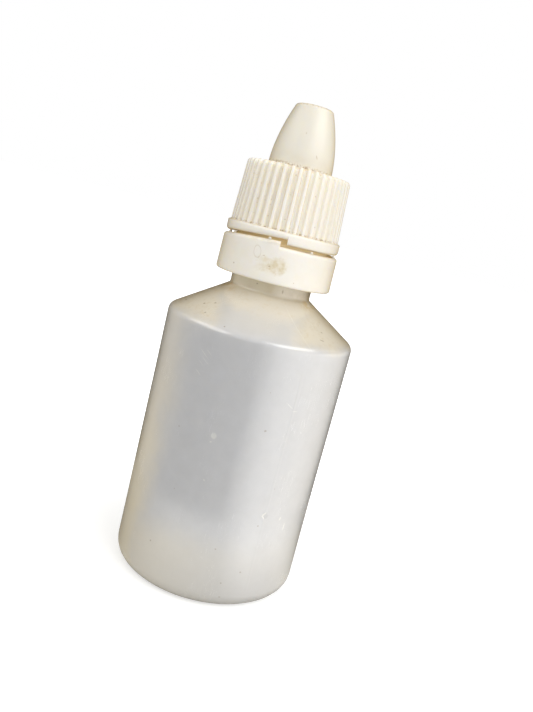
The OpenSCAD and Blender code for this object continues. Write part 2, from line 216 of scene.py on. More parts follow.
def make_piece(name, grids, body, node, marks=None, sharp_deg=40):
    """One mesh from several closed grids in millimetres, each (points, loop). It rides on body and stands for
    the
    CAD node. marks holds named numbers for the first grid's points, which materials read."""
    vertices, faces, start = [], [], 0
    for points, loop in grids:
        spots, polygons, used = grid_faces(points, loop)
        if start == 0:
            kept = used
        vertices.append(spots)
        faces.extend(corner for f in polygons for corner in (f + start).tolist())
        start += len(spots)
    mesh = bpy.data.meshes.new(name)
    mesh.from_pydata(np.concatenate(vertices) * MM, [], faces)
    mesh.update()
    for label, values in (marks or {}).items():
        numbers = np.zeros(start, np.float32)
        numbers[:len(kept)] = np.broadcast_to(values, grids[0][0].shape[:2]).ravel()[kept]
        mesh.attributes.new(label, "FLOAT", "POINT").data.foreach_set("value", numbers)
    mesh.shade_smooth()
    mesh.set_sharp_from_angle(angle=math.radians(sharp_deg))
    piece = bpy.data.objects.new(name, mesh)
    bpy.context.scene.collection.objects.link(piece)
    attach(piece, body)
    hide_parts(node)
    triangles = sum(len(f) - 2 for f in faces)
    print(f"{name}: {start} vertices, {triangles} triangles")
    return piece


def ease(low, high, value):
    """0 below low, 1 above high, and the smooth curve 3t^2 - 2t^3 between them."""
    t = np.clip((value - low) / (high - low), 0, 1)
    return t * t * (3 - 2 * t)


def turn_apart(a, b):
    """How far angle a lies past angle b, in degrees from -180 to 180."""
    return np.mod(a - b + 180, 360) - 180


# %% [markdown]
# ## The thread
#
# A screw thread is a small section carried along a helix. It fades to nothing at both ends, where it dips
# under the wall that carries it, so each thread is closed by itself and simply stands in the neck or in the
# cap.

# %% A ridge along a helix
def thread_ridge(root_r, crest_r, start_z, start_deg, turns, root_w=1.3, crest_w=0.6, steps=72, dip=0.2):
    """Rows follow the helix z = start + lead * turns, columns go round a rounded trapezium that is root_w
    wide at the root and crest_w wide at the crest. Its height eases in over a twelfth of a turn at each
    end."""
    side = np.sign(crest_r - root_r)
    turned = np.linspace(0, turns, int(turns * steps) + 1)
    grown = ease(0, 1 / 12, np.minimum(turned, turns - turned))[:, None]
    across, out = np.array([
        (-0.5 * root_w, -dip), (-0.5 * crest_w - 0.1, 0.8 * thread_depth),
        (-0.5 * crest_w + 0.1, thread_depth), (0.5 * crest_w - 0.1, thread_depth),
        (0.5 * crest_w + 0.1, 0.8 * thread_depth), (0.5 * root_w, -dip)]).T
    out = -dip + (out[None, :] + dip) * grown
    across = across[None, :] * (0.2 + 0.8 * grown) * side * (grown > 0)
    turn = np.radians(start_deg + 360 * turned)[:, None]
    r = root_r + side * out
    z = start_z + thread_lead * turned[:, None] + across
    return np.stack([r * np.sin(turn), -r * np.cos(turn), z], axis=-1)[:, ::-1]


# %% [markdown]
# ## The bottle
#
# The real one is blown: a soft tube is caught between two mould halves and blown against them. That leaves a
# thin wall that is never quite even, and a fine seam down each side where the halves met. A plain lathe shape
# would look like glass, so the grid is pushed inwards by slow waves, and raised a little at the seams.

# %% Unevenness and seams of the blown wall
def wall_waves(angles, z):
    """How far the wall lies inside a true cylinder: the sum of three slow waves round and up the body, fading
    out at the heel and at the shoulder."""
    a, h = np.radians(angles)[None, :], z[:, None]
    slow = 0.5 + 0.5 * np.sin(2 * a + 0.8 + 0.05 * h)
    slant = 0.5 + 0.5 * np.sin(3 * a - 1.1 - 0.11 * h)
    bands = 0.5 + 0.5 * np.sin(a + 0.35 * h)
    inside = ease(body_wall + push_up, 9, h) * (1 - ease(shoulder_z - 9, shoulder_z - 1.5, h))
    return -(0.07 * slow + 0.03 * slant + 0.008 * bands) * inside


def seam_ridge(angles, r, height=0.035, width=0.16):
    """A bell curve across each seam: height * exp(-(distance / width)^2), with the distance along the
    skin."""
    nearest = np.minimum(np.abs(turn_apart(angles, seam_deg)), np.abs(turn_apart(angles, seam_deg + 180)))
    distance = np.radians(nearest)[None, :] * r[:, None]
    return height * np.exp(-(distance / width) ** 2)


# %% The bottle's outline
slope = (neck_z - shoulder_z) / (body_r - neck_r)
inner_edge_z = shoulder_z - body_wall * math.tan((math.pi / 2 - math.atan(slope)) / 2)
inner_r = body_r - body_wall
bottle_line = outline([
    (0, push_up, 0), (foot_r, 0, 3), (body_r, 0, heel_r), (body_r, shoulder_z, 1.2), (neck_r, neck_z, 0.5),
    (neck_r, bead_z, 0.12), (bead_r, bead_z, 0.15), (bead_r, bead_z + bead_h, 0.2),
    (neck_r, bead_z + bead_h + bead_slope_h, 0.2), (neck_r, rim_z, 0.2), (neck_bore_r, rim_z, 0.2),
    (neck_bore_r, inner_edge_z + (inner_r - neck_bore_r) * slope, 1), (inner_r, inner_edge_z, 1.5),
    (inner_r, body_wall, 1.2), (foot_r, body_wall, 3), (0, body_wall + push_up, 0)], step=0.9, arc_steps=6)
print("bottle outline:", len(bottle_line), "points")

# %% [markdown]
# Moulding faults make a cheap bottle look real. Two hard specks in the plastic show as chips with a low rim.
# They are pushes on the grid like the seams, and the grid gets a few more rows and columns there, so that the
# rims come out round.

# %% Chips in the wall
# Each chip: angle, height, width, height of the patch, tilt
chips = [(-10.6, 24.2, 0.7, 0.8, 0.3), (30.6, 14.35, 1.05, 1.1, 0.05)]


def chip_rim(angles, z, angle, middle_z, wide, tall, tilt, rise=0.07):
    """A rim with four soft corners: rise * exp(-((s - 1) / 0.25)^2), where s is the distance from the chip's
    middle as a share of its own radius. It is highest at its upper left and fades towards the lower right."""
    u, v = np.meshgrid(np.radians(turn_apart(angles, angle)) * body_r, z - middle_z)
    u, v = u * math.cos(tilt) + v * math.sin(tilt), v * math.cos(tilt) - u * math.sin(tilt)
    around = np.arctan2(v, u)
    s = np.hypot(u * 2 / wide, v * 2 / tall) / (1 + 0.2 * np.cos(4 * around) + 0.13 * np.cos(3 * around))
    return rise * (0.5 + 0.5 * np.cos(around - 2.5)) * np.exp(-((s - 1) / 0.25) ** 2)


def add_rows(line, heights, r):
    """The outline with more points on its outer upright stretch, which is at radius r."""
    upright = np.flatnonzero(np.abs(line[:, 0] - r) < 1e-6)
    z = np.unique(np.concatenate([line[upright, 1], np.ravel(heights)]))
    return np.vstack([line[:upright[0]], np.stack([0 * z + r, z], axis=1), line[upright[-1] + 1:]])


# %% The bottle's skin
# Extra columns beside each seam and chip, in degrees. A quarter of chip_fan, in mm, gives the extra rows.
seam_fan = np.array([-1.6, -1.2, -0.9, -0.6, -0.3, 0, 0.3, 0.6, 0.9, 1.2, 1.6])
chip_fan = np.arange(-3.2, 3.3, 0.4)
bottle_angles = round_angles(288, extra=np.concatenate([
    *[seam_fan + angle for angle in (seam_deg, seam_deg + 180)], *[chip_fan + chip[0] for chip in chips]]))
bottle_line = add_rows(bottle_line, [chip[1] + chip_fan / 4 for chip in chips], body_r)
is_outer = np.arange(len(bottle_line)) <= int(np.argmax(bottle_line[:, 1]))
line_r, line_z = bottle_line[:, 0], bottle_line[:, 1]
waves = wall_waves(bottle_angles, line_z)
# The seam ends below the bead, and is faint low on the body and on the cone
seamed = is_outer * (line_z < bead_z - 0.3) * ease(0.3, 2.0, line_z)
seamed = seamed * (0.3 + 0.7 * ease(24, 30, line_z)) * (1 - 0.6 * ease(37, 38.5, line_z))
seams = seam_ridge(bottle_angles, line_r) * seamed[:, None]
rims = sum(chip_rim(bottle_angles, line_z, *chip) for chip in chips)
# The outer skin is only ever pushed inwards, so that it stays within the CAD body
bottle_push = np.where(is_outer[:, None], np.minimum(waves + seams + rims, 0), -waves)
bottle_grid = carry_round(bottle_line, bottle_angles, push=bottle_push)
neck_thread_z = thread_end_z - neck_turns * thread_lead
neck_thread = thread_ridge(neck_r, neck_r + thread_depth, neck_thread_z, thread_start_deg, neck_turns)
bottle = make_piece("bottle_shell", [(bottle_grid, False), (neck_thread, False)], "bottle", "bottle")

# %% [markdown]
# ## The dropper insert
#
# A soft plug with two sealing ribs is pressed into the neck, its flange on the rim. The nozzle above narrows
# to a hole that sets the size of a drop. It is hidden while the cap is on, and shows as soon as the cap is
# off.

# %% The insert
plug_r, plug_bore_r, nozzle_r, nozzle_tip_r = 4.27, 3.47, 3.1, 1.75
insert_top_z = rim_z + 1.2
mouth_z = nozzle_top_z - 1.1
narrow_z = mouth_z - 1.6
plug_len = rim_z - plug_z
plug_mid_r = 3.8
insert_flange_r = neck_r - 0.05
mouth_r, drop_hole_r, channel_r = 0.75, 0.3, 1.0
seal_r, seal_half = 4.39, 0.45
seals = [(r, plug_z + share * plug_len + offset, 0.05) for share in (0.3, 0.7)
         for r, offset in ((plug_r, -seal_half), (seal_r, 0), (plug_r, seal_half))]
insert_line = outline([
    (plug_mid_r, plug_z, 0), (plug_r - 0.12, plug_z, 0.1), *seals, (plug_r, rim_z, 0.05),
    (insert_flange_r, rim_z, 0.12), (insert_flange_r, insert_top_z, 0.25), (nozzle_r, insert_top_z, 0.3),
    (nozzle_tip_r, nozzle_top_z, 0.45), (mouth_r, nozzle_top_z, 0.06), (drop_hole_r, mouth_z, 0.1),
    (drop_hole_r, narrow_z, 0.1), (channel_r, narrow_z - 1, 0.2), (channel_r, insert_top_z, 0.2),
    (plug_bore_r, insert_top_z - plug_bore_r + channel_r, 0.3), (plug_bore_r, plug_z, 0.1),
    (plug_mid_r, plug_z, 0)], step=0.5)[:-1]
insert_grid = carry_round(insert_line, round_angles(180))
insert = make_piece("dropper", [(insert_grid, True)], "bottle", "dropper_insert")

# %% [markdown]
# ## The tamper ring
#
# The ring is moulded with the cap and held to it by thin bridges, which snap at the first opening. Two long
# ramps climb its top edge, each ending in an upright step, so that the cap can drive the ring on but lets go
# of it when it is unscrewed. On the grid a ramp is a lift of the upper rows, and a step is two columns set
# almost on top of each other.

# %% Ramps and steps
def ramp_rise(angles):
    """Height of the ramp: it climbs over ramp_deg up to each step as a tilted plane does, so along a sine."""
    back = np.mod(step_deg - angles, step_turn)
    half = math.radians(ramp_deg / 2)
    return np.where(back > ramp_deg, 0, step_h / 2 * (1 + np.sin(half - np.radians(back)) / math.sin(half)))


def notch_rise(angles):
    """Height of the notch in the cap's flange: the ramp's, and beside each step the full height."""
    past = np.mod(step_deg + step_gap_deg - angles, step_turn)
    return np.where(past <= step_gap_deg, step_h, ramp_rise(angles))


step_angles = np.array([0, step_turn]) + step_deg
crack = 0.12

# %% The snapped bridges
def post(angle, r, low_z, high_z, width=0.5, depth=0.4, count=12):
    """A small post: columns follow a rounded square |x|^4 + |y|^4 = 1, scaled to width and depth, and rows go
    up it, with a torn, narrower end."""
    turn = np.linspace(0, 2 * math.pi, count, endpoint=False)[None, :]
    share = np.array([0, 0, 0.35, 0.7, 0.92, 1, 1])[:, None]
    size = np.array([0, 1, 0.95, 0.9, 0.8, 0.55, 0])[:, None]
    spread = (np.cos(turn) ** 4 + np.sin(turn) ** 4) ** -0.25
    along = size * spread * np.cos(turn) * width / 2
    out = r + size * spread * np.sin(turn) * depth / 2
    a = math.radians(angle)
    x = out * math.sin(a) + along * math.cos(a)
    y = -out * math.cos(a) + along * math.sin(a)
    return np.stack([x, y, low_z + (high_z - low_z) * share + 0 * turn], axis=-1)[:, ::-1]


bridge_r, bridge_gap, band_gap = 7.67, 0.05, 0.35
bridge_half_deg = 1.9


def bridge_top(a):
    """A bridge ends bridge_gap short of the cap's flange, at the lower of its two sides."""
    rise = min(ramp_rise(a - bridge_half_deg), ramp_rise(a + bridge_half_deg))
    return ring_top_z + rise + band_gap - bridge_gap


bridges = [(post(a, bridge_r, ring_top_z - 0.3, bridge_top(a)), False) for a in -12 + np.arange(8) * 45.0]

# %% The ring's skin
ring_line = outline([
    (ring_mid_r, ring_z, 0), (ring_r, ring_z, 0.3), (ring_r - 0.09, ring_top_z, 0.45),
    (ring_bore_r, ring_top_z, 0.1), (ring_bore_r, snap_z, 0.08), (snap_r, snap_z, 0.12),
    (snap_r, snap_z - 0.6, 0.12), (ring_bore_r, snap_z - 1.6, 0.3), (ring_bore_r, ring_z, 0.2),
    (ring_mid_r, ring_z, 0)], step=0.45)[:-1]
ring_angles = round_angles(480, extra=[
    step_angles - 0.3, step_angles, step_angles + crack, step_angles + 0.5])
lifted = ease(ring_z + 2.2, ring_top_z - 0.35, ring_line[:, 1])[:, None]
lifted = lifted * (ring_line[:, 0] > ring_bore_r - 0.05)[:, None]
ring_grid = carry_round(ring_line, ring_angles, lift=lifted * ramp_rise(ring_angles)[None, :])
ring = make_piece("ring_band", [(ring_grid, True), *bridges], "tamper_ring", "tamper_ring")

# %% [markdown]
# ## The cap
#
# The cap is one injection moulding: a flange, a skirt with 42 narrow grip ribs, and a slim cover over the
# nozzle, with the thread and a sealing pin inside. The ribs are what the eye meets first. They are cut the
# way a mould maker cuts them: the outline is that of the crests, and the grooves between them are pushed in.

# %% Grooves between the ribs
def grooves(angles, r=7.5, crest_half=0.16, foot_half=0.35):
    """1 in a groove and 0 on a crest: the smooth curve from the crest's edge to the rib's foot, by the
    distance along the skin from the nearest rib."""
    pitch = 360 / rib_count
    off = np.abs(np.mod(angles - rib_phase + pitch / 2, pitch) - pitch / 2)
    return ease(crest_half, foot_half, np.radians(off) * r)


# %% The cap's outline
def cover_side(z):
    """Radius of the tip cover at height z: its sides leave the upright along a power curve."""
    share = (z - skirt_top_z) / (top_z - skirt_top_z)
    return cover_r - (cover_r - cover_top_r) * share ** cover_swell


inner_heights = np.linspace(cover_roof_z, skirt_top_z, 10)
outer_heights = np.linspace(skirt_top_z, top_z, 22)[1:-1]
pin_foot_r, pin_end_r, pin_end_z = 0.61, 0.3, nozzle_top_z - 0.75
cap_line = outline([
    (0, pin_end_z, 0), (pin_end_r, pin_end_z, 0.1), (pin_foot_r, nozzle_top_z, 0.05),
    (pin_foot_r, cover_roof_z, 0.15), *[(cover_side(z) - cover_wall, z, 0) for z in inner_heights],
    (cover_side(skirt_top_z) - cover_wall, roof_z, 0.1),
    (upper_bore_r, roof_z, 0.2), (upper_bore_r, thread_bore_top_z + 0.35, 0.1),
    (thread_bore_r, thread_bore_top_z, 0.1), (thread_bore_r, cap_z + 1.4, 0.1), (entry_r, cap_z + 0.95, 0.1),
    (entry_r, cap_z, 0.12), (flange_r, cap_z, 0.5), (flange_r, flange_top_z, 0.3),
    (skirt_foot_r, flange_top_z, 0.1), (skirt_top_r, skirt_top_z, 0.4), (cover_r, skirt_top_z, 0.15),
    *[(cover_side(z), z, 0) for z in outer_heights], (cover_top_r, top_z, 0.45), (0, top_z, 0)],
    step=1.1, arc_steps=6)
print("cap outline:", len(cap_line), "points")

# %% The cap's skin
notch_angles = step_angles + step_gap_deg
cap_angles = round_angles(rib_count * 12, phase=rib_phase, extra=[
    step_angles - 0.3, notch_angles, notch_angles + crack, notch_angles + 0.5])
row_r, row_z = cap_line[:, 0:1], cap_line[:, 1:2]
foot_row = int(np.argmax(cap_line[:, 0] > flange_r - 1e-3))
outside = (np.arange(len(cap_line)) > foot_row)[:, None]
ribbed = outside * (row_z > flange_top_z - 0.01) * (row_r < skirt_foot_r + 0.05) * ease(6.35, 6.95, row_r)
groove = ribbed * grooves(cap_angles)[None, :]
raised = (1 - ease(cap_z + 0.35, flange_top_z - 0.35, row_z)) * (row_z < flange_top_z)
notch_lift = raised * notch_rise(cap_angles)[None, :]
cap_grid = carry_round(cap_line, cap_angles, push=-rib_out * groove, lift=notch_lift)
# The cap's thread follows the neck's from half a turn further on, and lies cap_thread_drop below it
cap_thread_z = neck_thread_z - cap_thread_drop + thread_lead / 2
cap_thread_deg = thread_start_deg + 180
cap_thread = thread_ridge(thread_bore_r, neck_r + thread_clear, cap_thread_z, cap_thread_deg, cap_turns)
cap = make_piece("screw_cap", [(cap_grid, False), (cap_thread, False)], "cap", "cap",
                 marks={"groove": groove})

# %% [markdown]
# ## Materials
#
# All patterns are read in millimetres from each piece's own coordinates, so that a freckle of 0.3 is 0.3 mm.
# A small helper adds a node and fills its sockets, which keeps each finish short enough to read.

# %% Node helpers
def add(tree, kind, sockets=None, **settings):
    """Adds a node, makes its own settings, and gives its sockets values or other nodes' outputs."""
    made = tree.nodes.new("ShaderNode" + kind)
    for key, value in settings.items():
        setattr(made, key, value)
    for key, value in (sockets or {}).items():
        if isinstance(value, bpy.types.NodeSocket):
            tree.links.new(value, made.inputs[key])
        else:
            made.inputs[key].default_value = value
    return made


def calc(tree, operation, *values):
    """One step of arithmetic."""
    return add(tree, "Math", dict(enumerate(values)), operation=operation).outputs[0]


def times(tree, first, *others):
    """The product of several masks or numbers."""
    for other in others:
        first = calc(tree, "MULTIPLY", first, other)
    return first


def apart(tree, a, b):
    """How far apart two values are."""
    return calc(tree, "ABSOLUTE", calc(tree, "SUBTRACT", a, b))


def fade(tree, value, start, end, low=0.0, high=1.0):
    """Goes smoothly from low at start to high at end."""
    sockets = {"Value": value, "From Min": start, "From Max": end, "To Min": low, "To Max": high}
    return add(tree, "MapRange", sockets, interpolation_type="SMOOTHSTEP").outputs[0]


def largest(tree, values):
    """The largest of several masks."""
    most = values[0]
    for value in values[1:]:
        most = calc(tree, "MAXIMUM", most, value)
    return most


def grain(tree, place, scale, detail=2.0, roughness=0.5):
    """Even noise from 0 to 1, with scale bumps to the millimetre."""
    sockets = {"Vector": place, "Scale": scale, "Detail": detail, "Roughness": roughness}
    return add(tree, "TexNoise", sockets).outputs["Fac"]


def tint(tree, amount, under, over):
    """Lays one colour over another by amount."""
    mix = add(tree, "Mix", {0: amount}, data_type="RGBA")
    for socket, value in ((mix.inputs[6], under), (mix.inputs[7], over)):
        if isinstance(value, bpy.types.NodeSocket):
            tree.links.new(value, socket)
        else:
            socket.default_value = (*value, 1)
    return mix.outputs[2]


# %% [markdown]
# Stains and scratches have places on the real bottle, so each is laid down by its angle and height. The skin
# is unrolled for this: one coordinate runs round it, the other up it, both in millimetres, and a Mapping node
# moves a mark's own centre, turn and size onto it.

# %% Marks on the unrolled skin
def new_finish(name):
    """An empty material, its Principled shader, and the object's coordinates in millimetres."""
    material = bpy.data.materials.new(name)
    material.use_nodes = True
    tree = material.node_tree
    shader = tree.nodes["Principled BSDF"]
    sockets = {0: add(tree, "TexCoord").outputs["Object"], "Scale": 1 / MM}
    place = add(tree, "VectorMath", sockets, operation="SCALE").outputs[0]
    return material, tree, shader, place


def let_light_through(tree, share, colour):
    """Lets a share of each lamp's light pass every wall of the part, tinted by its colour, so that soft
    plastic throws a pale and warm shadow. Only shadow rays see this."""
    shader, output = tree.nodes["Principled BSDF"], tree.nodes["Material Output"]
    clear = add(tree, "BsdfTransparent", {"Color": (*colour, 1)})
    passed = times(tree, add(tree, "LightPath").outputs["Is Shadow Ray"], share)
    mix = add(tree, "MixShader", {0: passed, 1: shader.outputs[0], 2: clear.outputs[0]})
    tree.links.new(mix.outputs[0], output.inputs["Surface"])


def satin_skin(tree, shader, depth, radius, weight, ior, coat_tint, bumps, bump_height):
    """Light scatters depth millimetres into the plastic, under a satin skin with low bumps and a thin rough
    coat."""
    constants = {"Subsurface Weight": weight, "Subsurface Radius": radius, "Subsurface Scale": depth * MM,
                 "IOR": ior, "Coat Weight": 1.0, "Coat Roughness": 0.3, "Coat IOR": 1.03,
                 "Coat Tint": (*coat_tint, 1)}
    for socket, value in constants.items():
        shader.inputs[socket].default_value = value
    bump = add(tree, "Bump", {"Height": bumps, "Strength": 1.0, "Distance": bump_height * MM})
    tree.links.new(bump.outputs[0], shader.inputs["Normal"])


def unroll(tree, place, r, waver=0.15):
    """The skin laid flat: r times the angle from the front, and the height, both wavering a little so that no
    mark has a ruled edge."""
    x, y, z = add(tree, "SeparateXYZ", {0: place}).outputs
    angle = calc(tree, "ARCTAN2", x, times(tree, y, -1.0))
    flat = add(tree, "CombineXYZ", {0: times(tree, angle, r), 1: z}).outputs[0]
    noise = add(tree, "TexNoise", {"Vector": place, "Scale": 3.0, "Detail": 3.0}).outputs["Color"]
    shift = add(tree, "VectorMath", {0: noise, 1: (0.5, 0.5, 0.5)}, operation="SUBTRACT").outputs[0]
    sockets = {0: shift, 1: (waver, waver, 0), 2: flat}
    return add(tree, "VectorMath", sockets, operation="MULTIPLY_ADD").outputs[0]


def spot(tree, flat, r, angle, z, wide, tall, tilt=0.0, edge=0.3, rim=None):
    """1 inside an oval mark and 0 outside, softened over edge, a share of its size. With rim, only its
    outline."""
    sockets = {0: flat, "Location": (math.radians(angle) * r, z, 0), "Rotation": (0, 0, tilt),
               "Scale": (wide / 2, tall / 2, 1)}
    own = add(tree, "Mapping", sockets, vector_type="TEXTURE").outputs[0]
    away = add(tree, "VectorMath", {0: own}, operation="LENGTH").outputs["Value"]
    if rim:
        away = calc(tree, "DIVIDE", apart(tree, away, 1.0), rim)
    return fade(tree, away, 1 - edge, 1 + edge, 1, 0)


def spots(tree, flat, r, places, **settings):
    """Several marks as one mask. Each place is an angle, a height, a width, a height of its own and a
    tilt."""
    return largest(tree, [spot(tree, flat, r, *place, **settings) for place in places])


def specks(tree, place, per_mm, size, share):
    """Scattered specks: a small ball round the middle of each cell of a cell pattern, in a share of the
    cells."""
    cells = add(tree, "TexVoronoi", {"Vector": place, "Scale": per_mm})
    lot = add(tree, "SeparateColor", {0: cells.outputs["Color"]}).outputs[0]
    chosen = calc(tree, "LESS_THAN", lot, share)
    ball = fade(tree, cells.outputs["Distance"], size * per_mm * 0.35, size * per_mm * 0.6, 1, 0)
    return times(tree, ball, chosen)


def hairlines(tree, place, turn, along=0.25, across=5.0, width=0.012):
    """Fine parallel scratches: the thin line where a noise, drawn out along one direction, passes its middle
    value."""
    sockets = {0: place, "Rotation": turn, "Scale": (across, across, along)}
    drawn = add(tree, "Mapping", sockets, vector_type="POINT").outputs[0]
    level = apart(tree, grain(tree, drawn, 1.0, 0), 0.5)
    worn = fade(tree, grain(tree, place, 0.25, 1), 0.52, 0.66)
    return times(tree, fade(tree, level, 0, width, 1, 0), worn)


# %% [markdown]
# ### Milky polyethylene
#
# The bottle isn't clear and isn't white: light goes a millimetre or two into the wall, is scattered and comes
# out again. Subsurface scattering does this. The skin is satin, with a fine orange peel from the mould. Years
# of use have yellowed the neck and the cone, where hands and the ring rub, and one side of the body. Over
# that, painted shade browns the cone's left and right edges and the right of the neck under the ring, and
# painted light brightens the bead and the neck above it, where they show through the slit under the cap.

# %% Where the bottle has yellowed
def yellowed_parts(tree, place, x, z):
    """How far the plastic has yellowed: most on the neck, less on the cone, in clouds up the left side, and a
    little at the foot."""
    cloud = grain(tree, place, 0.16, 4, 0.55)
    drift = calc(tree, "MULTIPLY_ADD", cloud, 3.0, z)
    aside = calc(tree, "MULTIPLY_ADD", cloud, 4.0, apart(tree, x, -0.5))
    cone = times(tree, fade(tree, drift, 38.6, 40.6), fade(tree, aside, 6.0, 8.8, 0.12, 0.95))
    cone = calc(tree, "MAXIMUM", cone, fade(tree, drift, 40.8, 43.2, 0, 0.7))
    neck = fade(tree, z, 42.0, 43.6)
    left = times(tree, fade(tree, calc(tree, "MULTIPLY_ADD", cloud, 5.0, x), -9.5, -4.5, 1, 0),
                 fade(tree, z, 38, 8, 0.35, 0.95))
    foot = times(tree, fade(tree, drift, 14, 8), fade(tree, x, -13, 9.5, 0.6, 0.15))
    return largest(tree, [cone, neck, left, foot])


# %% The colour of the aged plastic, with painted shade and light
milk, milk_shade, cone_milk = (0.617, 0.622, 0.638), (0.547, 0.552, 0.568), (0.655, 0.635, 0.59)
body_yellow, cone_yellow = (0.74, 0.68, 0.55), (0.775, 0.715, 0.60)
flank_shade_brown, freckle_brown = (0.62, 0.52, 0.35), (0.62, 0.50, 0.30)
neck_cream, neck_shadow_brown, bead_honey_lit = (0.79, 0.74, 0.61), (0.50, 0.445, 0.345), (0.92, 0.79, 0.55)


def aged_colour_with_painted_light(tree, place, mottle):
    """Mottled bluish milk, warmer on the cone, with the yellowing over it. The cone is browner along its left
    and right edges, painted shade; freckles lie where it is yellow; the neck is lighter at its left and
    darker at its right, painted shade of the ring; and the bead and the neck above it are a light honey
    colour, yellowed plastic with painted light."""
    x, y, z = add(tree, "SeparateXYZ", {0: place}).outputs
    yellow = yellowed_parts(tree, place, x, z)
    colour = tint(tree, mottle, milk, milk_shade)
    colour = tint(tree, fade(tree, z, 37.5, 39.5, 0, 0.5), colour, cone_milk)
    on_cone = fade(tree, z, 36, 39)
    colour = tint(tree, yellow, colour, tint(tree, on_cone, body_yellow, cone_yellow))
    # Painted shade: the cone is browner along its left and right edges as seen from the front.
    flank_painted_shade = times(tree, fade(tree, calc(tree, "ABSOLUTE", y), 6.0, 1.5, 0, 0.6), fade(tree, z, 37.2, 39))
    colour = tint(tree, flank_painted_shade, colour, flank_shade_brown)
    freckle = times(tree, yellow, fade(tree, grain(tree, place, 1.5, 5, 0.7), 0.5, 0.68, 0, 0.3), on_cone)
    colour = tint(tree, freckle, colour, freckle_brown)
    # Painted shade of the ring: the neck is lighter at its left and darker brown at its right.
    neck = times(tree, fade(tree, z, 42.2, 43.8), fade(tree, mottle, 0.35, 0.65, 0.7, 1))
    colour = tint(tree, neck, colour, tint(tree, fade(tree, x, -1, 3.5), neck_cream, neck_shadow_brown))
    # Painted light: the bead and the neck above it in a light honey colour, yellowed plastic brightened as if
    # lit through the slit under the cap.
    return tint(tree, fade(tree, z, bead_z - 0.3, bead_z, 0, 0.9), colour, bead_honey_lit)


# %% Wear on the bottle
scraped_pale, dull_grey = (0.86, 0.86, 0.80), (0.42, 0.42, 0.43)


def wear_marks(tree, flat, colour):
    """Pale strokes and a patch at the chips, fine scratches and one long one on the cone, and the dull middle
    of the lower chip."""
    strokes = spots(tree, flat, body_r, [
        (29.2, 14.65, 0.22, 0.85, -0.78), (29.2, 14.2, 0.18, 0.6, 0.67),
        (-10.0, 18.0, 0.12, 0.3, 0.4)], edge=0.4)
    arcs = spots(tree, flat, body_r, [(42.0, 13.85, 0.2, 0.5, -0.3), (47.0, 12.45, 0.2, 1.0, -0.1)], edge=0.5)
    patch = spots(tree, flat, body_r, [(-10.6, 24.2, 0.75, 0.85, 0.3), (-11.5, 23.3, 0.3, 0.2, 0.5)])
    scratches = spots(tree, flat, body_r, [
        (27.4, 30.2, 1.2, 0.12, -0.6), (31.5, 29.5, 0.8, 0.11, 0.1), (-27.0, 34.2, 1.6, 0.09, -0.6),
        (-25.6, 33.4, 1.3, 0.08, -0.6), (-28.5, 31.6, 1.0, 0.1, -0.55), (-24.4, 34.6, 1.0, 0.08, -0.6),
        (-27.8, 32.9, 0.9, 0.07, -0.6), (25.6, 40.4, 0.1, 6.2, 0.55)], edge=0.5)
    worn = largest(tree, [times(tree, strokes, 0.6), times(tree, scratches, 0.35), times(tree, patch, 0.4),
                          times(tree, arcs, 0.5)])
    colour = tint(tree, worn, colour, scraped_pale)
    dull = spot(tree, flat, body_r, 30.9, 14.3, 0.6, 0.6, 0.78, edge=0.5)
    return tint(tree, times(tree, dull, 0.4), colour, dull_grey)


# %% Dirt on the bottle
grime_brown, dot_brown = (0.58, 0.42, 0.20), (0.24, 0.17, 0.09)


def dirt_marks(tree, place, flat, colour):
    """Grime where the cone meets the neck, brown dots on the body and on the cone, and scattered dust."""
    x, _, z = add(tree, "SeparateXYZ", {0: place}).outputs
    side = fade(tree, calc(tree, "ABSOLUTE", x), 4.2, 5.6)
    fillet = fade(tree, apart(tree, z, neck_z - 0.1), 0.15, 1.1, 0.55, 0)
    grime = times(tree, side, fillet, fade(tree, grain(tree, place, 1.1, 4), 0.45, 0.6))
    colour = tint(tree, grime, colour, grime_brown)
    dots = spots(tree, flat, body_r, [
        (16.8, 26.4, 0.3, 0.3, 0), (27.3, 12.9, 0.22, 0.22, 0), (-32.9, 23.7, 0.2, 0.2, 0),
        (5.8, 8.9, 0.2, 0.2, 0), (-34.2, 6.7, 0.26, 0.26, 0), (23.8, 5.9, 0.25, 0.25, 0),
        (14.9, 2.0, 0.3, 0.2, 0), (13.7, 4.1, 0.2, 0.2, 0)], edge=0.4)
    cone_dots = spots(tree, flat, body_r, [
        (-42.5, 40.3, 0.4, 0.16, 0), (-50.0, 39.8, 0.4, 0.16, 0), (-72.8, 39.2, 0.5, 0.18, 0),
        (-39.5, 39.0, 0.3, 0.14, 0), (-20.2, 38.3, 0.24, 0.12, 0), (45.0, 39.0, 0.7, 0.1, -0.15),
        (50.6, 39.8, 0.4, 0.12, -0.1), (-18.6, 44.0, 0.5, 0.16, 0), (17.7, 43.7, 0.5, 0.55, 0.1)], edge=0.5)
    dust = specks(tree, place, 0.32, 0.18, 0.3)
    dirt = largest(tree, [times(tree, dots, 0.42), times(tree, cone_dots, 0.5), times(tree, dust, 0.3)])
    return tint(tree, dirt, colour, dot_brown)


